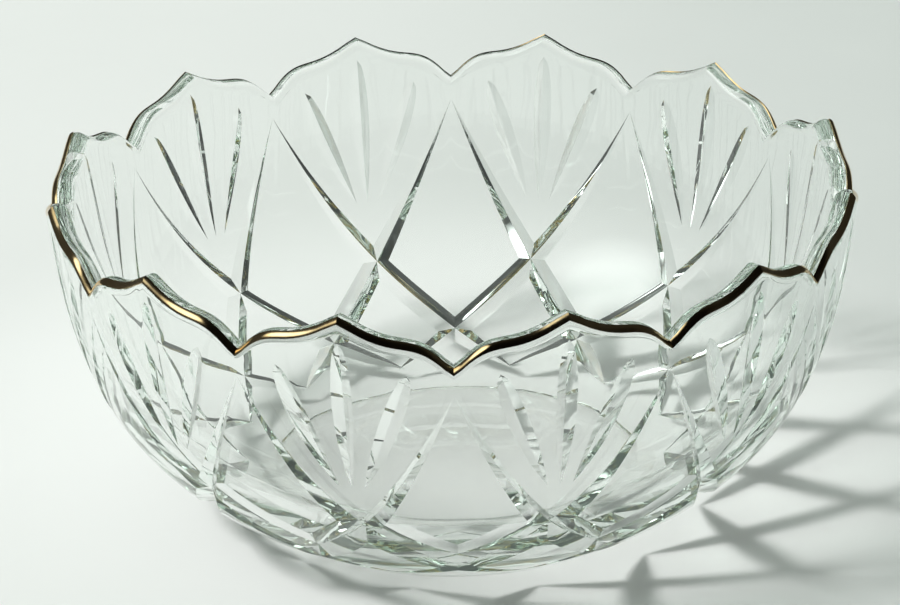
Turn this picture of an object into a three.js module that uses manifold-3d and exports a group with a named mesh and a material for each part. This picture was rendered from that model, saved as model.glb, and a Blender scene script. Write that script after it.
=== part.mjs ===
// Clear crystal serving bowl with a scalloped rim, wheel-cut sides and a fired gold line.
// Millimetres, +Z up. The origin is the centre of the resting face, and a notch of the rim faces -Y.
// An azimuth is in degrees, zero at -Y and growing towards +X.
import * as THREE from "three";
import { mergeVertices } from "three/addons/utils/BufferGeometryUtils.js";
import Module from "manifold-3d";

// Outline of the side, one curve from the foot's edge to the tip of a scallop
const RIM_RADIUS = 105; // outer side at the tip of a scallop
const TIP_HEIGHT = 93.4; // resting face to the tip of a scallop
const FOOT_RADIUS = 52.5; // outer edge of the resting face
const HEEL_REACH = 37.5; // how far out the curve heads as it leaves the foot
const HEEL_RISE = 21; // how far up it heads there
const RIM_LEAN = 4; // how far in the curve comes from as it nears the rim
const RIM_RUN = 52.5; // how far down it comes from there

// Glass thickness, measured square to the side
const RIM_WALL = 5.5;
const HEEL_WALL = 9.5;
const FLOOR_THICKNESS = 7.5; // resting face to the inside, at the centre
const FLOOR_BLEND = 6; // width of the bend between the floor and the side

// Scalloped edge
const SCALLOPS = 12;
const NOTCH_DEPTH = 12.3; // tip of a scallop to the bottom of the notch beside it
const NOTCH_SWING = 3.5; // degrees that the edge heads out of the notch
const NOTCH_CLIMB = 8.3; // millimetres that it heads up there
const TIP_SWING = 6.5; // degrees that the edge comes from as it nears the tip
const TIP_CLIMB = 5.3; // millimetres that it comes up there
const LIP_RISE = 2.5; // height of the rounded top of the wall
const ROOT_MARGIN = 0.5; // from the rounded top in a notch down to where the wall is the same all round

// Foot
const FOOT_RING = 9; // width of the resting face
const HOLLOW_DEPTH = 1.6; // smooth hollow of the underside inside the resting face

// Long mitre cuts: each falls from under one notch, through the middle of a scallop, to under the next notch
const MITRE_BELOW_NOTCH = 6.5; // bottom of the notch to the upper tip of a mitre
const APEX_HEIGHT = 29.5; // where two mitres cross under the tip of a scallop
const HEEL_CROSSING_HEIGHT = 12.5; // where they cross again under a notch
const MITRE_OVERRUN = 16; // degrees that a mitre runs on past that crossing
const MITRE_DEPTH = 2.8; // at its middle
const MITRE_ANGLE = 106; // between its two faces

// Fans of short spindle cuts above each apex
const FAN_SPINDLES = 3;
const SPINDLE_BELOW_TIP = 7; // tip of a scallop to the upper end of the middle spindle
const SIDE_SPINDLE_DROP = 7.6; // from there down to the upper end of its neighbour
const SPINDLE_ABOVE_APEX = 16; // apex to the lower ends
const FAN_SPREAD = 9; // degrees from the middle spindle to its neighbour, at the upper ends
const FAN_GATHER = 1.9; // the same at the lower ends
const SPINDLE_DEPTH = 1.5; // at its deepest, a third of the way down
const SPINDLE_ANGLE = 120; // between its two faces

// Gold line, fired on the outer corner of the edge
const GOLD_START = 6; // degrees up the rounded top, from the outer side
const GOLD_END = 38;
const GOLD_THICKNESS = 0.3;
const GOLD_CLEARANCE = 0.05; // between the gold and the glass

// Smoothness of the faceted surfaces
const EDGE_STEPS = 4; // from a notch to a tip
const SIDE_STEPS = 6; // up the outer side, below the scallops
const INSIDE_STEPS = 5; // up the inner side, below the scallops
const SCALLOP_RINGS = 2; // between there and the edge
const GOLD_STEPS = 2; // across the gold line
const LIP_STEPS = 3; // over the rest of the rounded top
const FLOOR_STEPS = 3; // round the bend of the floor, and over the hollow of the underside
const MITRE_STEPS = 8;
const SPINDLE_STEPS = 5;
const CUTTER_MARGIN = 1.5; // how far a cutter stands out of the glass
const MERGE_DISTANCE = 1e-4;
const PLACE_TOLERANCE = 1e-9;

const wasm = await Module();
wasm.setup();

const HALF_SCALLOP = 180 / SCALLOPS;
const NOTCH_HEIGHT = TIP_HEIGHT - NOTCH_DEPTH;
const SCALLOP_ROOT = NOTCH_HEIGHT - LIP_RISE - ROOT_MARGIN;

const side = new THREE.CubicBezierCurve(
  new THREE.Vector2(FOOT_RADIUS, 0),
  new THREE.Vector2(FOOT_RADIUS + HEEL_REACH, HEEL_RISE),
  new THREE.Vector2(RIM_RADIUS - RIM_LEAN, TIP_HEIGHT - RIM_RUN),
  new THREE.Vector2(RIM_RADIUS, TIP_HEIGHT),
);

// Half a scallop: degrees from the notch against height.
const edge = new THREE.CubicBezierCurve(
  new THREE.Vector2(0, NOTCH_HEIGHT),
  new THREE.Vector2(NOTCH_SWING, NOTCH_HEIGHT + NOTCH_CLIMB),
  new THREE.Vector2(HALF_SCALLOP - TIP_SWING, TIP_HEIGHT - TIP_CLIMB),
  new THREE.Vector2(HALF_SCALLOP, TIP_HEIGHT),
);

// The place, from 0 to 1, where a curve that rises with it reaches a value.
function placeWhere(measure, value) {
  let low = 0;
  let high = 1;
  while (high - low > PLACE_TOLERANCE) {
    const middle = (low + high) / 2;
    if (measure(middle) < value) low = middle;
    else high = middle;
  }
  return low;
}

const placeAtHeight = (height) => placeWhere((t) => side.getPoint(t).y, height);

// Unit vector out of the glass, in the plane of the section.
function sideNormal(t) {
  const tangent = side.getTangent(t);
  return new THREE.Vector2(tangent.y, -tangent.x);
}

// The glass thins from the heel to the rim.
function insidePoint(t) {
  const wall = RIM_WALL + (HEEL_WALL - RIM_WALL) * (1 - t) ** 2;
  return side.getPoint(t).addScaledVector(sideNormal(t), -wall);
}

function edgeHeight(azimuth) {
  const turn = 2 * HALF_SCALLOP;
  const within = ((azimuth % turn) + turn) % turn;
  const fromNotch = Math.min(within, turn - within);
  return edge.getPoint(placeWhere((t) => edge.getPoint(t).x, fromNotch)).y;
}

function inSpace(point, azimuth) {
  const angle = THREE.MathUtils.degToRad(azimuth);
  return new THREE.Vector3(point.x * Math.sin(angle), -point.x * Math.cos(angle), point.y);
}

const steps = (count) => Array.from({ length: count + 1 }, (_, i) => i / count);

// A point of the rounded top, turned by so many degrees from the outer side to the inner.
function lipPoint(t, degrees) {
  const angle = THREE.MathUtils.degToRad(degrees);
  const across = (1 - Math.cos(angle)) / 2;
  const outer = side.getPoint(t);
  const x = THREE.MathUtils.lerp(outer.x, insidePoint(t).x, across);
  return new THREE.Vector2(x, outer.y + LIP_RISE * Math.sin(angle));
}

const goldAngles = steps(GOLD_STEPS).map((s) => THREE.MathUtils.lerp(GOLD_START, GOLD_END, s));
const restAngles = steps(LIP_STEPS).slice(1).map((s) => THREE.MathUtils.lerp(GOLD_END, 180, s));

// Azimuths of the sections, close together where the edge bends.
const rise = steps(EDGE_STEPS).map((t) => edge.getPoint(t).x);
const fall = rise.slice(1, -1).reverse().map((degrees) => 2 * HALF_SCALLOP - degrees);
const azimuths = [];
for (let notch = 0; notch < SCALLOPS; notch += 1) {
  azimuths.push(...[...rise, ...fall].map((degrees) => 2 * HALF_SCALLOP * notch + degrees));
}

// A point of the hollow under the foot, from the axis out to the resting face.
function hollowPoint(s) {
  const height = (HOLLOW_DEPTH * (1 + Math.cos(Math.PI * s))) / 2;
  return new THREE.Vector2(s * (FOOT_RADIUS - FOOT_RING), height);
}

// Section of the glass at an azimuth, from the axis under the foot round to the axis inside.
function glassSection(azimuth) {
  const top = placeAtHeight(edgeHeight(azimuth) - LIP_RISE);
  const root = placeAtHeight(SCALLOP_ROOT);
  const under = steps(FLOOR_STEPS).map(hollowPoint);
  const outside = [
    ...steps(SIDE_STEPS).map((s) => side.getPoint(root * s)),
    ...steps(SCALLOP_RINGS).slice(1).map((s) => side.getPoint(THREE.MathUtils.lerp(root, top, s))),
  ];
  const lip = [...goldAngles, ...restAngles].map((degrees) => lipPoint(top, degrees));
  const inside = [
    ...steps(INSIDE_STEPS).map((s) => insidePoint(root * s)),
    ...steps(SCALLOP_RINGS).slice(1, -1).map((s) => insidePoint(THREE.MathUtils.lerp(root, top, s))),
  ];
  // The bend starts along the side and ends along the floor.
  const heel = inside[0];
  const meeting = heel.x - ((heel.y - FLOOR_THICKNESS) * HEEL_REACH) / HEEL_RISE;
  const bend = new THREE.QuadraticBezierCurve(
    heel,
    new THREE.Vector2(meeting, FLOOR_THICKNESS),
    new THREE.Vector2(heel.x - FLOOR_BLEND, FLOOR_THICKNESS),
  );
  const floor = steps(FLOOR_STEPS).slice(1).map((s) => bend.getPoint(s));
  const centre = new THREE.Vector2(0, FLOOR_THICKNESS);
  return [...under, ...outside, ...lip, ...inside.reverse(), ...floor, centre];
}

// Section of the gold line, a thin band that keeps to the outer corner of the edge.
function goldSection(azimuth) {
  const top = placeAtHeight(edgeHeight(azimuth) - LIP_RISE);
  const onGlass = goldAngles.map((degrees) => lipPoint(top, degrees));
  const normals = onGlass.map((point, i) => {
    const before = onGlass[Math.max(i - 1, 0)];
    const after = onGlass[Math.min(i + 1, onGlass.length - 1)];
    const along = after.clone().sub(before).normalize();
    return new THREE.Vector2(along.y, -along.x);
  });
  const skin = (lift) => onGlass.map((point, i) => point.clone().addScaledVector(normals[i], lift));
  return [...skin(GOLD_CLEARANCE + GOLD_THICKNESS), ...skin(GOLD_CLEARANCE).reverse()];
}

// Surface through rows of points, each joined to the next. In a ring the last row joins the first,
// and otherwise both ends are capped. Rows that close are joined from their last point to their first.
function surface(rows, { rowsClose, ring }) {
  const width = rows[0].length;
  const positions = rows.flat().flatMap((point) => point.toArray());
  const index = [];
  const lastRow = ring ? rows.length : rows.length - 1;
  const lastPoint = rowsClose ? width : width - 1;
  for (let row = 0; row < lastRow; row += 1) {
    for (let i = 0; i < lastPoint; i += 1) {
      const next = ((row + 1) % rows.length) * width;
      const a = row * width + i;
      const b = next + i;
      const c = next + ((i + 1) % width);
      const d = row * width + ((i + 1) % width);
      index.push(a, b, c, a, c, d);
    }
  }
  if (!ring) {
    const end = (rows.length - 1) * width;
    for (let i = 1; i < width - 1; i += 1) {
      index.push(0, i, i + 1, end, end + i + 1, end + i);
    }
  }
  const geometry = new THREE.BufferGeometry();
  geometry.setAttribute("position", new THREE.Float32BufferAttribute(positions, 3));
  geometry.setIndex(index);
  return geometry;
}

function solidOf(geometry) {
  const merged = mergeVertices(geometry, MERGE_DISTANCE);
  const corners = merged.index.array;
  const triVerts = [];
  for (let i = 0; i < corners.length; i += 3) {
    const [a, b, c] = corners.subarray(i, i + 3);
    if (a !== b && b !== c && c !== a) triVerts.push(a, b, c);
  }
  const mesh = new wasm.Mesh({
    numProp: 3,
    vertProperties: merged.attributes.position.array,
    triVerts: Uint32Array.from(triVerts),
  });
  return new wasm.Manifold(mesh);
}

function geometryOf(solid) {
  const mesh = solid.getMesh();
  const geometry = new THREE.BufferGeometry();
  geometry.setAttribute("position", new THREE.BufferAttribute(mesh.vertProperties, 3));
  geometry.setIndex(new THREE.BufferAttribute(mesh.triVerts, 1));
  const faceted = geometry.toNonIndexed();
  faceted.computeVertexNormals();
  return faceted;
}

// Cutter with a V section of a given angle along a path on the outer side.
// Each stop of the path has an azimuth, a place up the side and a depth.
function cutter(path, angle) {
  const flare = Math.tan(THREE.MathUtils.degToRad(angle / 2));
  const points = path.map(({ azimuth, place }) => inSpace(side.getPoint(place), azimuth));
  const rows = path.map(({ azimuth, place, depth }, i) => {
    const before = points[Math.max(i - 1, 0)];
    const after = points[Math.min(i + 1, points.length - 1)];
    const along = after.clone().sub(before).normalize();
    const outward = inSpace(sideNormal(place), azimuth);
    const across = along.clone().cross(outward).normalize();
    const half = (depth + CUTTER_MARGIN) * flare;
    const level = points[i].clone().addScaledVector(outward, CUTTER_MARGIN);
    return [
      level.clone().addScaledVector(across, half),
      level.clone().addScaledVector(across, -half),
      points[i].clone().addScaledVector(outward, -depth),
    ];
  });
  return solidOf(surface(rows, { rowsClose: true, ring: false }));
}

// A mitre is a straight wheel cut, so its path lies in one plane: through its tip, the apex and the crossing.
function mitre(notch, direction) {
  const tip = { azimuth: 0, place: placeAtHeight(NOTCH_HEIGHT - MITRE_BELOW_NOTCH) };
  const apex = { azimuth: HALF_SCALLOP, place: placeAtHeight(APEX_HEIGHT) };
  const crossing = { azimuth: 2 * HALF_SCALLOP, place: placeAtHeight(HEEL_CROSSING_HEIGHT) };
  const corners = [tip, apex, crossing].map(({ azimuth, place }) => inSpace(side.getPoint(place), azimuth));
  const plane = new THREE.Plane().setFromCoplanarPoints(...corners);
  const sign = Math.sign(plane.distanceToPoint(inSpace(side.getPoint(1), HALF_SCALLOP)));
  const path = steps(MITRE_STEPS).map((s) => {
    const azimuth = s * (2 * HALF_SCALLOP + MITRE_OVERRUN);
    const height = (t) => sign * plane.distanceToPoint(inSpace(side.getPoint(t), azimuth));
    return {
      azimuth: notch * 2 * HALF_SCALLOP + direction * azimuth,
      place: placeWhere(height, 0),
      depth: MITRE_DEPTH * Math.sin(Math.PI * s),
    };
  });
  return cutter(path, MITRE_ANGLE);
}

// A spindle along its length, from 0 to 1: blunt above, deepest at a third of the way, drawn out below.
const spindleForm = (s) => Math.sqrt(s) * (1 - s);
const spindleDepth = (s) => (SPINDLE_DEPTH * spindleForm(s)) / spindleForm(1 / 3);

// One spindle of the fan under the tip that follows a notch. Offset 0 is the middle one.
function spindle(notch, offset) {
  const middle = (2 * notch + 1) * HALF_SCALLOP;
  const upper = middle + offset * FAN_SPREAD;
  const lower = middle + offset * FAN_GATHER;
  const top = placeAtHeight(TIP_HEIGHT - SPINDLE_BELOW_TIP - SIDE_SPINDLE_DROP * Math.abs(offset));
  const bottom = placeAtHeight(APEX_HEIGHT + SPINDLE_ABOVE_APEX);
  const path = steps(SPINDLE_STEPS).map((s) => ({
    azimuth: THREE.MathUtils.lerp(upper, lower, s),
    place: THREE.MathUtils.lerp(top, bottom, s),
    depth: spindleDepth(s),
  }));
  return cutter(path, SPINDLE_ANGLE);
}

function glassBowl() {
  const sections = azimuths.map((azimuth) => glassSection(azimuth).map((point) => inSpace(point, azimuth)));
  let glass = solidOf(surface(sections, { rowsClose: false, ring: true }));
  for (let notch = 0; notch < SCALLOPS; notch += 1) {
    glass = glass.subtract(mitre(notch, 1)).subtract(mitre(notch, -1));
    for (let i = 0; i < FAN_SPINDLES; i += 1) {
      glass = glass.subtract(spindle(notch, i - (FAN_SPINDLES - 1) / 2));
    }
  }
  const material = new THREE.MeshStandardMaterial({
    color: 0xeef3ef,
    roughness: 0.04,
    metalness: 0,
    transparent: true,
    opacity: 0.45,
  });
  const mesh = new THREE.Mesh(geometryOf(glass), material);
  mesh.name = "glass_bowl";
  return mesh;
}

function goldRim() {
  const sections = azimuths.map((azimuth) => goldSection(azimuth).map((point) => inSpace(point, azimuth)));
  const band = solidOf(surface(sections, { rowsClose: true, ring: true }));
  const material = new THREE.MeshStandardMaterial({ color: 0xb98a3c, roughness: 0.22, metalness: 1 });
  const mesh = new THREE.Mesh(geometryOf(band), material);
  mesh.name = "gold_rim";
  return mesh;
}

const bowl = new THREE.Group();
bowl.add(glassBowl(), goldRim());

export default bowl;
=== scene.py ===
"""Looks of the crystal bowl: a fine mesh of the cut glass, the gold line on its rim, floor and light.

Metres, +Z up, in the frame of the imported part. An azimuth is in degrees, zero at -Y and growing towards +X.
"""
import math

import bpy
import numpy as np
from mathutils import Matrix, Vector


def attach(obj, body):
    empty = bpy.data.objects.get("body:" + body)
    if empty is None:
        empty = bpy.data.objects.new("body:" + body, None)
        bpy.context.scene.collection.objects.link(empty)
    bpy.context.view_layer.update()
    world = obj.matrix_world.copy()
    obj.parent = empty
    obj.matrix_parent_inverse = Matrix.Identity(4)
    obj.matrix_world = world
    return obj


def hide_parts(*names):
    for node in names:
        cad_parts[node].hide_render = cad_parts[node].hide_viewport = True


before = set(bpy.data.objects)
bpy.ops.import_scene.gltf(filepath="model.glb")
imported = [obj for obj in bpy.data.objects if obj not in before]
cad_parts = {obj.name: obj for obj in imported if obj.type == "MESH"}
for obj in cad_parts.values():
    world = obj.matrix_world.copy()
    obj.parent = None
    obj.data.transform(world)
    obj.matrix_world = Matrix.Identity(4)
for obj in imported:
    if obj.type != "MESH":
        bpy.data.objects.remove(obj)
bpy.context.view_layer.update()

MM = 0.001

# Outline of the side, one curve from the foot's edge to the tip of a scallop
RIM_RADIUS = 105 * MM
TIP_HEIGHT = 93.4 * MM
FOOT_RADIUS = 52.5 * MM
HEEL_REACH = 37.5 * MM
HEEL_RISE = 21 * MM
RIM_LEAN = 4 * MM
RIM_RUN = 52.5 * MM

# Glass thickness
RIM_WALL = 5.5 * MM
HEEL_WALL = 9.5 * MM
FLOOR_THICKNESS = 7.5 * MM
FLOOR_BLEND = 6 * MM

# Scalloped edge, with swings and rounding in degrees round the axis
SCALLOPS = 12
NOTCH_DEPTH = 13.5 * MM
NOTCH_SWING = 5.9
NOTCH_CLIMB = 12.5 * MM
TIP_SWING = 8.6
TIP_CLIMB = 10.6 * MM
LIP_RISE = 2.5 * MM
EDGE_ROUNDING = 0.5

# Foot
FOOT_RING = 9 * MM
HOLLOW_DEPTH = 1.6 * MM

# Cuts, with angles of the V and turns round the axis in degrees
MITRE_BELOW_NOTCH = 6.5 * MM
APEX_HEIGHT = 29.5 * MM
HEEL_CROSSING_HEIGHT = 12.5 * MM
MITRE_OVERRUN = 16
MITRE_DEPTH = 2.8 * MM
MITRE_ANGLE = 106
FAN_SPINDLES = 3
SPINDLE_BELOW_TIP = 7 * MM
SIDE_SPINDLE_DROP = 7.6 * MM
SPINDLE_ABOVE_APEX = 16 * MM
FAN_SPREAD = 9
FAN_GATHER = 1.9
SPINDLE_DEPTH = 1.5 * MM
SPINDLE_ANGLE = 120

# Gold line, from and to so many degrees round the lip, its inner face just under the glass
GOLD_START = 18
GOLD_END = 60
GOLD_THICKNESS = 0.3 * MM
GOLD_CLEARANCE = 0.05 * MM
GOLD_BITE = 0.03 * MM

# Smoothness of the meshes
EDGE_STEPS = 16
SIDE_STEPS = 40
INSIDE_STEPS = 28
SCALLOP_RINGS = 8
LIP_STEPS = 14
FLOOR_STEPS = 8
MITRE_STEPS = 56
SPINDLE_STEPS = 28
CUTTER_MARGIN = 0.3 * MM
GOLD_STEPS = 6
ROUNDING_STEPS = 9
TABLE_SIZE = 4001
SMOOTH_ANGLE = 22

# Marks on the faces of the cuts, told by how far they lie under the smooth side
CUT_TOLERANCE = 0.08 * MM
CUT_LIMIT = (RIM_WALL + MITRE_DEPTH) / 2
CUT_MARK = "cut"

# Glass: colours are what one surface and the body let through
GLASS_IOR = 1.52
GLASS_TINT = (0.99, 0.998, 0.992, 1)
BODY_TINT = (0.8, 0.95, 0.86, 1)
BODY_DENSITY = 5
POLISH_WAVES = 70
POLISH_DETAIL = 1
POLISH_HEIGHT = 0.06 * MM
CUT_SHADOW = 0.12

# Gold
GOLD_DEEP = (0.58, 0.4, 0.2)
GOLD_PALE = (0.7, 0.52, 0.3)
STREAK_WAVES = 260
STREAK_DETAIL = 4
STREAK_HEIGHT = 0.02 * MM
WEAR_WAVES = 90
WEAR_DETAIL = 3
GOLD_POLISHED = 0.08
GOLD_WORN = 0.18

# Noise runs from about the one to about the other
NOISE_LOW = 0.3
NOISE_HIGH = 0.7

# Floor: a painted pool of light round the bowl, and painted shade that darkens it at the far right
FLOOR_HALF = 4.0
FLOOR_DROP = 0.2 * MM
FLOOR_WAVES = 9
FLOOR_DETAIL = 5
FLOOR_ROUGHNESS = 0.8
FLOOR_GLOSS = 0.1
FLOOR_PAINTED_LIGHT_POOL = (0.87, 0.9, 0.87)
FLOOR_MIDDLE = (0.74, 0.77, 0.74)
FLOOR_PAINTED_SHADE = (0.59, 0.63, 0.6)
FLOOR_TINT_STEP = 0.02
PAINTED_LIGHT_POOL_CENTRE = (-0.01, 0.05, 0)
PAINTED_LIGHT_POOL_REACH = (0.07, 0.18)
PAINTED_SHADE_REACH = (-0.12, 0.22)

# Surroundings: directions, and half angles in degrees of where each lobe ends and where it is full
AMBIENT_TINT = (0.92, 1, 0.95, 1)
PALE_WALLS = 0.5
DARK_SIDE = (0.8, 0.25, 0.55)
DARK_REACH = (60, 28)
DARK_WALLS = 0.26
CAMERA_SIDE = (0, -0.85, 0.52)
CAMERA_REACH = (40, 18)
CAMERA_SHARE = 0.55
MIRRORED_SHARE = 0.12
MIRRORED_REACH = (75, 40)
MIRRORED_CAMERA_SHARE = 0.01
SEEN_THROUGH_SHARE = 0.24
WINDOW_AZIMUTH = -76
WINDOW_ELEVATION = 45
WINDOW_REACH = (22, 8)
WINDOW_LIGHT = 3

# Lamp, far off so that the floor is lit evenly
KEY_AZIMUTH = -66
KEY_ELEVATION = 49
KEY_DISTANCE = 6
KEY_SIZE = 1.1
KEY_WATTS = 270
KEY_TINT = (1, 0.96, 0.98)

# How often light may bounce, enough for the long ways inside the rim
LIGHT_BOUNCES = 64
TRANSPARENT_BOUNCES = 24

# The photograph's camera, in its frame of 900 by 605 pixels
IMAGE_WIDTH = 900
FOCAL_PIXELS = 3624
SENSOR_WIDTH = 36.0
CAMERA_PLACE = Vector((0.0027, -0.8732, 0.4246))
CAMERA_AIM = Vector((-0.001, 0, 0.0535))
CAMERA_ROLL = math.radians(-1.106)

HALF_SCALLOP = 180 / SCALLOPS
NOTCH_HEIGHT = TIP_HEIGHT - NOTCH_DEPTH
SCALLOP_ROOT = NOTCH_HEIGHT - LIP_RISE

SIDE = np.array([
    (FOOT_RADIUS, 0),
    (FOOT_RADIUS + HEEL_REACH, HEEL_RISE),
    (RIM_RADIUS - RIM_LEAN, TIP_HEIGHT - RIM_RUN),
    (RIM_RADIUS, TIP_HEIGHT),
])
EDGE = np.array([
    (0, NOTCH_HEIGHT),
    (NOTCH_SWING, NOTCH_HEIGHT + NOTCH_CLIMB),
    (HALF_SCALLOP - TIP_SWING, TIP_HEIGHT - TIP_CLIMB),
    (HALF_SCALLOP, TIP_HEIGHT),
])


def bezier(points, t):
    """Points of a curve at the places t, by repeated halfway lines."""
    t = np.asarray(t, float)[..., None]
    while len(points) > 1:
        points = [a + (b - a) * t for a, b in zip(points, points[1:])]
    return points[0]


PLACES = np.linspace(0, 1, TABLE_SIZE)
SIDE_LINE = bezier(list(SIDE), PLACES)
EDGE_LINE = bezier(list(EDGE), PLACES)


def place_at_height(height):
    return np.interp(height, SIDE_LINE[:, 1], PLACES)


def side_point(t):
    return bezier(list(SIDE), t)


def side_normal(t):
    """Unit vector out of the glass, in the plane of the section."""
    along = bezier(list(np.diff(SIDE, axis=0)), t)
    along = along / np.linalg.norm(along, axis=-1, keepdims=True)
    return np.stack([along[..., 1], -along[..., 0]], -1)


def inside_point(t):
    wall = RIM_WALL + (HEEL_WALL - RIM_WALL) * (1 - np.asarray(t)) ** 2
    return side_point(t) - side_normal(t) * wall[..., None]


def edge_height(azimuth):
    """Height of the edge, averaged over places side by side, as polishing rounds tips and notches."""
    beside = np.linspace(-EDGE_ROUNDING, EDGE_ROUNDING, ROUNDING_STEPS)
    within = np.mod(np.asarray(azimuth)[..., None] + beside, 2 * HALF_SCALLOP)
    from_notch = np.minimum(within, 2 * HALF_SCALLOP - within)
    return np.interp(from_notch, EDGE_LINE[:, 0], EDGE_LINE[:, 1]).mean(-1)


def in_space(points, azimuth):
    angle = np.radians(azimuth)
    return np.stack([points[..., 0] * np.sin(angle), -points[..., 0] * np.cos(angle), points[..., 1]], -1)


def lip_point(t, degrees):
    """A point of the rounded top, turned by so many degrees from the outer side to the inner."""
    angle = np.radians(degrees)
    outer = side_point(t)
    inner = inside_point(t)
    across = (1 - np.cos(angle)) / 2
    radius = outer[..., 0] + (inner[..., 0] - outer[..., 0]) * across
    return np.stack([radius, outer[..., 1] + LIP_RISE * np.sin(angle)], -1)


def hollow_point(s):
    """A point of the smooth hollow under the foot, from the axis out to the ring that it stands on."""
    return s * (FOOT_RADIUS - FOOT_RING), HOLLOW_DEPTH * (1 + math.cos(math.pi * s)) / 2


def section_azimuths():
    rise = bezier(list(EDGE), np.linspace(0, 1, EDGE_STEPS + 1))[:, 0]
    fall = 2 * HALF_SCALLOP - rise[-2:0:-1]
    scallop = np.concatenate([rise, fall])
    return np.concatenate([scallop + 2 * HALF_SCALLOP * k for k in range(SCALLOPS)])


def glass_rows(azimuths):
    """Sections of the glass, one row for each azimuth, from under the foot round to the inside floor."""
    one = np.ones(len(azimuths))
    top = place_at_height(edge_height(azimuths) - LIP_RISE)
    root = place_at_height(SCALLOP_ROOT)
    columns = [np.outer(one, hollow_point(s)) for s in np.linspace(0, 1, FLOOR_STEPS + 1)[1:]]
    columns += [side_point(root * s * one) for s in np.linspace(0, 1, SIDE_STEPS + 1)]
    columns += [side_point(root + (top - root) * s) for s in np.linspace(0, 1, SCALLOP_RINGS + 1)[1:-1]]
    columns += [lip_point(top, degrees) for degrees in np.linspace(0, 180, LIP_STEPS + 1)]
    columns += [inside_point(top + (root - top) * s) for s in np.linspace(0, 1, SCALLOP_RINGS + 1)[1:]]
    columns += [inside_point(root * (1 - s) * one) for s in np.linspace(0, 1, INSIDE_STEPS + 1)[1:]]
    heel = inside_point(np.array(0.0))
    meeting = heel[0] - (heel[1] - FLOOR_THICKNESS) * HEEL_REACH / HEEL_RISE
    bend = [heel, np.array((meeting, FLOOR_THICKNESS)), np.array((heel[0] - FLOOR_BLEND, FLOOR_THICKNESS))]
    columns += [np.outer(one, bezier(bend, np.array(s))) for s in np.linspace(0, 1, FLOOR_STEPS + 1)[1:]]
    return in_space(np.stack(columns, 1), azimuths[:, None])


def gold_rows(azimuths):
    """Sections of the gold line, a thin band that keeps to the outer corner of the edge."""
    top = place_at_height(edge_height(azimuths) - LIP_RISE)
    on_glass = np.stack([lip_point(top, d) for d in np.linspace(GOLD_START, GOLD_END, GOLD_STEPS + 1)], 1)
    along = np.gradient(on_glass, axis=1)
    along /= np.linalg.norm(along, axis=-1, keepdims=True)
    normals = np.stack([along[..., 1], -along[..., 0]], -1)
    outer = on_glass + normals * (GOLD_CLEARANCE + GOLD_THICKNESS)
    inner = on_glass - normals * GOLD_BITE
    return in_space(np.concatenate([outer, inner[:, ::-1]], 1), azimuths[:, None])


def ring_faces(count, width, rows_close):
    """Quads between neighbouring rows of points, the last row joined to the first."""
    row = np.arange(count)[:, None]
    point = np.arange(width if rows_close else width - 1)[None]
    after = (row + 1) % count
    beside = (point + 1) % width
    this_row, next_row = row * width, after * width
    quads = np.stack([this_row + point, next_row + point, next_row + beside, this_row + beside], -1)
    return quads.reshape(-1, 4)


def mesh_object(name, vertices, faces):
    mesh = bpy.data.meshes.new(name)
    mesh.from_pydata(vertices, [], faces)
    mesh.validate()
    piece = bpy.data.objects.new(name, mesh)
    bpy.context.scene.collection.objects.link(piece)
    return piece


def cutter_parts(angle, azimuth, place, depth):
    """Vertices and faces of one cutter with a V section along a path on the outer side."""
    flare = math.tan(math.radians(angle / 2))
    points = in_space(side_point(place), azimuth)
    along = np.gradient(points, axis=0)
    along /= np.linalg.norm(along, axis=-1, keepdims=True)
    outward = in_space(side_normal(place), azimuth)
    across = np.cross(along, outward)
    across /= np.linalg.norm(across, axis=-1, keepdims=True)
    half = ((depth + CUTTER_MARGIN) * flare)[:, None]
    level = points + outward * CUTTER_MARGIN
    bottom = points - outward * depth[:, None]
    vertices = np.stack([level + across * half, level - across * half, bottom], 1).reshape(-1, 3)
    count = len(points)
    faces = []
    for row in range(count - 1):
        for i in range(3):
            beside = (i + 1) % 3
            faces.append((3 * row + i, 3 * row + 3 + i, 3 * row + 3 + beside, 3 * row + beside))
    last = 3 * (count - 1)
    faces += [(0, 1, 2), (last, last + 2, last + 1)]
    return vertices, faces


def mitre_path(notch, direction):
    """A straight cut lies in one plane: through its tip, the apex and the crossing under the next notch."""
    s = np.linspace(0, 1, MITRE_STEPS + 1)
    azimuth = s * (2 * HALF_SCALLOP + MITRE_OVERRUN)
    heights = np.array([NOTCH_HEIGHT - MITRE_BELOW_NOTCH, APEX_HEIGHT, HEEL_CROSSING_HEIGHT])
    corners = in_space(side_point(place_at_height(heights)), np.array([0, HALF_SCALLOP, 2 * HALF_SCALLOP]))
    normal = np.cross(corners[1] - corners[0], corners[2] - corners[0])
    place = []
    for a in azimuth:
        distance = (in_space(SIDE_LINE, np.array(a)) - corners[0]) @ normal
        rising = distance * np.sign(distance[-1] - distance[0])
        place.append(np.interp(0, rising, PLACES))
    depth = MITRE_DEPTH * np.sin(np.pi * s)
    return notch * 2 * HALF_SCALLOP + direction * azimuth, np.array(place), depth


def spindle_path(notch, offset):
    """One spindle of the fan under the tip that follows a notch: blunt above, drawn out below."""
    s = np.linspace(0, 1, SPINDLE_STEPS + 1)
    middle = (2 * notch + 1) * HALF_SCALLOP
    upper = middle + offset * FAN_SPREAD
    lower = middle + offset * FAN_GATHER
    top = place_at_height(TIP_HEIGHT - SPINDLE_BELOW_TIP - SIDE_SPINDLE_DROP * abs(offset))
    bottom = place_at_height(APEX_HEIGHT + SPINDLE_ABOVE_APEX)
    fullest = 1 / 3
    depth = SPINDLE_DEPTH * np.sqrt(s / fullest) * (1 - s) / (1 - fullest)
    return upper + (lower - upper) * s, top + (bottom - top) * s, depth


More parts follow.
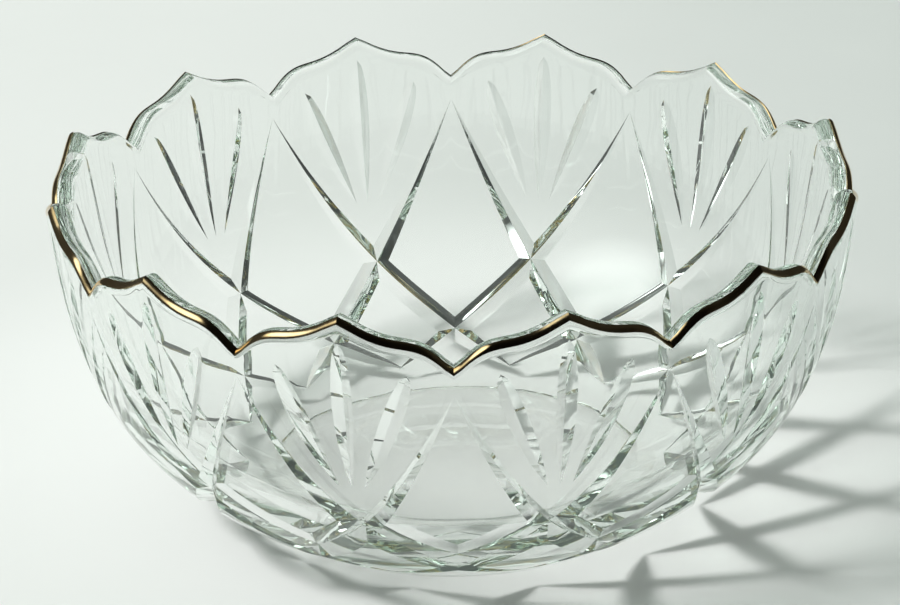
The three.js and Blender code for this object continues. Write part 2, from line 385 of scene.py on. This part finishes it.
def cutters(name, angle, paths):
    """One object with a cutter along each path."""
    vertices, faces, start = [], [], 0
    for path in paths:
        some, their_faces = cutter_parts(angle, *path)
        vertices.append(some)
        faces += [tuple(start + i for i in face) for face in their_faces]
        start += len(some)
    return mesh_object(name, np.concatenate(vertices), faces)


def cut(piece, cutter):
    """Takes a cutter out of a piece and deletes the cutter."""
    modifier = piece.modifiers.new("cut", "BOOLEAN")
    modifier.operation = "DIFFERENCE"
    modifier.solver = "MANIFOLD"
    modifier.object = cutter
    evaluated = piece.evaluated_get(bpy.context.evaluated_depsgraph_get())
    mesh = bpy.data.meshes.new_from_object(evaluated)
    piece.modifiers.clear()
    piece.data = mesh
    bpy.data.objects.remove(cutter)


def smooth(piece):
    piece.data.polygons.foreach_set("use_smooth", np.ones(len(piece.data.polygons), bool))
    piece.data.set_sharp_from_angle(angle=math.radians(SMOOTH_ANGLE))


def make_glass():
    azimuths = section_azimuths()
    rows = glass_rows(azimuths)
    count, width = rows.shape[:2]
    vertices = np.concatenate([rows.reshape(-1, 3), [(0, 0, HOLLOW_DEPTH), (0, 0, FLOOR_THICKNESS)]])
    faces = [tuple(face) for face in ring_faces(count, width, rows_close=False)]
    under, floor = count * width, count * width + 1
    for row in range(count):
        after = (row + 1) % count
        faces.append((under, after * width, row * width))
        faces.append((floor, row * width + width - 1, after * width + width - 1))
    piece = mesh_object("cut_glass_bowl", vertices, faces)
    notches = range(SCALLOPS)
    offsets = [i - (FAN_SPINDLES - 1) / 2 for i in range(FAN_SPINDLES)]
    cut(piece, cutters("mitres_one_way", MITRE_ANGLE, [mitre_path(n, 1) for n in notches]))
    cut(piece, cutters("mitres_other_way", MITRE_ANGLE, [mitre_path(n, -1) for n in notches]))
    cut(piece, cutters("spindles", SPINDLE_ANGLE, [spindle_path(n, o) for n in notches for o in offsets]))
    smooth(piece)
    return piece


def make_gold():
    rows = gold_rows(section_azimuths())
    count, width = rows.shape[:2]
    faces = [tuple(face) for face in ring_faces(count, width, rows_close=True)]
    piece = mesh_object("gold_line", rows.reshape(-1, 3), faces)
    smooth(piece)
    return piece


def new_material(name):
    material = bpy.data.materials.new(name)
    material.use_nodes = True
    tree = material.node_tree
    shader = tree.nodes["Principled BSDF"]
    return material, tree, shader


def noise(tree, scale, detail):
    """Noise over the object's own coordinates, so many waves to the metre."""
    coordinates = tree.nodes.new("ShaderNodeTexCoord")
    texture = tree.nodes.new("ShaderNodeTexNoise")
    texture.inputs["Scale"].default_value = scale
    texture.inputs["Detail"].default_value = detail
    tree.links.new(coordinates.outputs["Object"], texture.inputs["Vector"])
    return texture.outputs["Fac"]


def spread(tree, source, low, high, at_low, at_high):
    """Stretches the values of a source from one range to another."""
    node = tree.nodes.new("ShaderNodeMapRange")
    node.interpolation_type = "SMOOTHSTEP"
    for name, value in (("From Min", low), ("From Max", high), ("To Min", at_low), ("To Max", at_high)):
        node.inputs[name].default_value = value
    tree.links.new(source, node.inputs["Value"])
    return node.outputs[0]


def tint(tree, source, one, other):
    """A colour between two, by a noise."""
    ramp = tree.nodes.new("ShaderNodeValToRGB")
    for element, place, colour in zip(ramp.color_ramp.elements, (NOISE_LOW, NOISE_HIGH), (one, other)):
        element.position = place
        element.color = (*colour, 1)
    tree.links.new(source, ramp.inputs["Fac"])
    return ramp.outputs["Color"]


def bump(tree, shader, source, height):
    node = tree.nodes.new("ShaderNodeBump")
    node.inputs["Distance"].default_value = height
    tree.links.new(source, node.inputs["Height"])
    tree.links.new(node.outputs[0], shader.inputs["Normal"])


def mark_cut_faces(piece):
    """Marks the faces of the cuts, which lie a little under the smooth outer side."""
    mesh = piece.data
    centres = np.empty(len(mesh.polygons) * 3)
    mesh.polygons.foreach_get("center", centres)
    x, y, z = centres.reshape(-1, 3).T
    place = place_at_height(z)
    under_side = (side_point(place)[:, 0] - np.hypot(x, y)) * side_normal(place)[:, 0]
    below_lip = z < edge_height(np.degrees(np.arctan2(x, -y))) - LIP_RISE - CUT_TOLERANCE
    cut_faces = (under_side > CUT_TOLERANCE) & (under_side < CUT_LIMIT) & below_lip & (z > CUT_TOLERANCE)
    mark = mesh.attributes.new(CUT_MARK, "FLOAT", "FACE")
    mark.data.foreach_set("value", cut_faces.astype(np.float32))


def glass_material():
    """Clear glass. Lamp light that finds no bent way through it goes straight on, dimmed by the cuts."""
    material, tree, shader = new_material("crystal")
    nodes, links = tree.nodes, tree.links
    shader.inputs["Base Color"].default_value = GLASS_TINT
    shader.inputs["Transmission Weight"].default_value = 1
    shader.inputs["IOR"].default_value = GLASS_IOR
    shader.inputs["Roughness"].default_value = 0
    bump(tree, shader, noise(tree, POLISH_WAVES, POLISH_DETAIL), POLISH_HEIGHT)
    output = nodes["Material Output"]
    absorb = nodes.new("ShaderNodeVolumeAbsorption")
    absorb.inputs["Color"].default_value = BODY_TINT
    absorb.inputs["Density"].default_value = BODY_DENSITY
    links.new(absorb.outputs[0], output.inputs["Volume"])
    mark = nodes.new("ShaderNodeAttribute")
    mark.attribute_name = CUT_MARK
    clear = nodes.new("ShaderNodeBsdfTransparent")
    links.new(spread(tree, mark.outputs["Fac"], 0, 1, 1, CUT_SHADOW), clear.inputs["Color"])
    path = nodes.new("ShaderNodeLightPath")
    mix = nodes.new("ShaderNodeMixShader")
    links.new(path.outputs["Is Shadow Ray"], mix.inputs["Fac"])
    links.new(shader.outputs[0], mix.inputs[1])
    links.new(clear.outputs[0], mix.inputs[2])
    links.new(mix.outputs[0], output.inputs["Surface"])
    return material


def gold_material():
    """Gold brushed on and fired: bright, with faint streaks and a little wear."""
    material, tree, shader = new_material("gold")
    streaks = noise(tree, STREAK_WAVES, STREAK_DETAIL)
    tree.links.new(tint(tree, streaks, GOLD_DEEP, GOLD_PALE), shader.inputs["Base Color"])
    shader.inputs["Metallic"].default_value = 1
    wear = noise(tree, WEAR_WAVES, WEAR_DETAIL)
    roughness = spread(tree, wear, NOISE_LOW, NOISE_HIGH, GOLD_POLISHED, GOLD_WORN)
    tree.links.new(roughness, shader.inputs["Roughness"])
    bump(tree, shader, streaks, STREAK_HEIGHT)
    return material


def floor_material():
    """Faintly clouded, with a painted pool of light round the bowl and painted shade darkening it towards the
    far right.
    """
    material, tree, shader = new_material("pale_floor")
    clouds = noise(tree, FLOOR_WAVES, FLOOR_DETAIL)

    def clouded(colour):
        return tint(tree, clouds, colour, [round(value + FLOOR_TINT_STEP, 2) for value in colour])

    painted_light_pool, middle, painted_shade = clouded(FLOOR_PAINTED_LIGHT_POOL), clouded(FLOOR_MIDDLE), clouded(FLOOR_PAINTED_SHADE)
    coordinates = tree.nodes.new("ShaderNodeTexCoord")
    apart = tree.nodes.new("ShaderNodeSeparateXYZ")
    tree.links.new(coordinates.outputs["Object"], apart.inputs[0])
    from_pool_of_light = tree.nodes.new("ShaderNodeVectorMath")
    from_pool_of_light.operation = "DISTANCE"
    from_pool_of_light.inputs[1].default_value = PAINTED_LIGHT_POOL_CENTRE
    tree.links.new(coordinates.outputs["Object"], from_pool_of_light.inputs[0])

    def blend(one, other, share):
        mix = tree.nodes.new("ShaderNodeMixRGB")
        tree.links.new(share, mix.inputs["Fac"])
        tree.links.new(one, mix.inputs["Color1"])
        tree.links.new(other, mix.inputs["Color2"])
        return mix.outputs[0]

    # Painted shade: the floor colour darkens towards the far right
    outer = blend(middle, painted_shade, spread(tree, apart.outputs["X"], *PAINTED_SHADE_REACH, 0, 1))
    # Painted pool of light: the floor colour is lightest near the bowl and fades out with distance from it
    colour = blend(painted_light_pool, outer, spread(tree, from_pool_of_light.outputs["Value"], *PAINTED_LIGHT_POOL_REACH, 0, 1))
    tree.links.new(colour, shader.inputs["Base Color"])
    shader.inputs["Roughness"].default_value = FLOOR_ROUGHNESS
    shader.inputs["Specular IOR Level"].default_value = FLOOR_GLOSS
    return material


def make_floor():
    signs = ((-1, -1), (1, -1), (1, 1), (-1, 1))
    corners = [(FLOOR_HALF * x, FLOOR_HALF * y, -FLOOR_DROP) for x, y in signs]
    floor = mesh_object("floor", corners, [(0, 1, 2, 3)])
    floor.data.materials.append(floor_material())
    floor.cycles.is_caustics_receiver = True


def towards(azimuth, elevation):
    """Unit vector towards an azimuth and an elevation in degrees."""
    turn, lift = math.radians(azimuth), math.radians(elevation)
    return Vector((math.cos(lift) * math.sin(turn), -math.cos(lift) * math.cos(turn), math.sin(lift)))


def make_world():
    """Pale all round with one bright window, darker at the far right and behind the camera, and dimmer
    where it is mirrored or seen through the glass."""
    world = bpy.data.worlds.new("studio")
    bpy.context.scene.world = world
    world.use_nodes = True
    nodes, links = world.node_tree.nodes, world.node_tree.links
    background = nodes["Background"]
    background.inputs["Color"].default_value = AMBIENT_TINT
    coordinates = nodes.new("ShaderNodeTexCoord")

    def lobe(direction, reach, outside, inside):
        alignment = nodes.new("ShaderNodeVectorMath")
        alignment.operation = "DOT_PRODUCT"
        alignment.inputs[1].default_value = Vector(direction).normalized()
        links.new(coordinates.outputs["Generated"], alignment.inputs[0])
        end, full = (math.cos(math.radians(angle)) for angle in reach)
        return spread(world.node_tree, alignment.outputs["Value"], end, full, outside, inside)

    def product(one, other):
        node = nodes.new("ShaderNodeMath")
        node.operation = "MULTIPLY"
        links.new(one, node.inputs[0])
        links.new(other, node.inputs[1])
        return node.outputs[0]

    right_wall = lobe(DARK_SIDE, DARK_REACH, PALE_WALLS, DARK_WALLS)
    walls = product(right_wall, lobe(CAMERA_SIDE, CAMERA_REACH, 1, CAMERA_SHARE))
    path = nodes.new("ShaderNodeLightPath")
    through = path.outputs["Is Transmission Ray"]
    share = spread(world.node_tree, through, 0, 1, MIRRORED_SHARE, SEEN_THROUGH_SHARE)
    mirrored = lobe(CAMERA_SIDE, MIRRORED_REACH, MIRRORED_SHARE, MIRRORED_CAMERA_SHARE)
    links.new(mirrored, share.node.inputs["To Min"])
    dimmed = spread(world.node_tree, path.outputs["Is Glossy Ray"], 0, 1, 1, MIRRORED_SHARE)
    links.new(share, dimmed.node.inputs["To Max"])
    window = lobe(towards(WINDOW_AZIMUTH, WINDOW_ELEVATION), WINDOW_REACH, 0, WINDOW_LIGHT)
    both = nodes.new("ShaderNodeMath")
    links.new(product(walls, dimmed), both.inputs[0])
    links.new(window, both.inputs[1])
    links.new(both.outputs[0], background.inputs["Strength"])


def make_key():
    """A round soft lamp near the window. Glass bends its light onto the floor, and nothing mirrors it."""
    data = bpy.data.lights.new("key", "AREA")
    data.shape = "DISK"
    data.size = KEY_SIZE
    data.energy = KEY_WATTS
    data.color = KEY_TINT
    data.cycles.is_caustics_light = True
    light = bpy.data.objects.new("key", data)
    bpy.context.scene.collection.objects.link(light)
    light.visible_glossy = False
    light.visible_transmission = False
    light.location = towards(KEY_AZIMUTH, KEY_ELEVATION) * KEY_DISTANCE
    light.rotation_euler = (-light.location).to_track_quat("-Z", "Y").to_euler()


def make_camera():
    data = bpy.data.cameras.new("camera")
    data.sensor_width = SENSOR_WIDTH
    data.lens = FOCAL_PIXELS / IMAGE_WIDTH * SENSOR_WIDTH
    camera = bpy.data.objects.new("camera", data)
    bpy.context.scene.collection.objects.link(camera)
    forward = (CAMERA_AIM - CAMERA_PLACE).normalized()
    right = forward.cross(Vector((0, 0, 1))).normalized()
    up = right.cross(forward)
    turned_right = right * math.cos(CAMERA_ROLL) + up * math.sin(CAMERA_ROLL)
    turned_up = up * math.cos(CAMERA_ROLL) - right * math.sin(CAMERA_ROLL)
    turn = Matrix((turned_right, turned_up, -forward)).transposed()
    camera.matrix_world = Matrix.Translation(CAMERA_PLACE) @ turn.to_4x4()
    bpy.context.scene.camera = camera


def set_view():
    scene = bpy.context.scene
    scene.view_settings.view_transform = "Standard"
    scene.cycles.max_bounces = LIGHT_BOUNCES
    scene.cycles.transmission_bounces = LIGHT_BOUNCES
    scene.cycles.glossy_bounces = LIGHT_BOUNCES
    scene.cycles.transparent_max_bounces = TRANSPARENT_BOUNCES
    scene.cycles.caustics_reflective = False


glass = make_glass()
mark_cut_faces(glass)
glass.data.materials.clear()
glass.data.materials.append(glass_material())
glass.cycles.is_caustics_caster = True
gold = make_gold()
gold.data.materials.append(gold_material())
for piece, node, slot in ((glass, "glass_bowl", "crystal"), (gold, "gold_rim", "gold")):
    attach(piece, "root")
    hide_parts(node)

make_floor()
make_world()
make_key()
make_camera()
set_view()
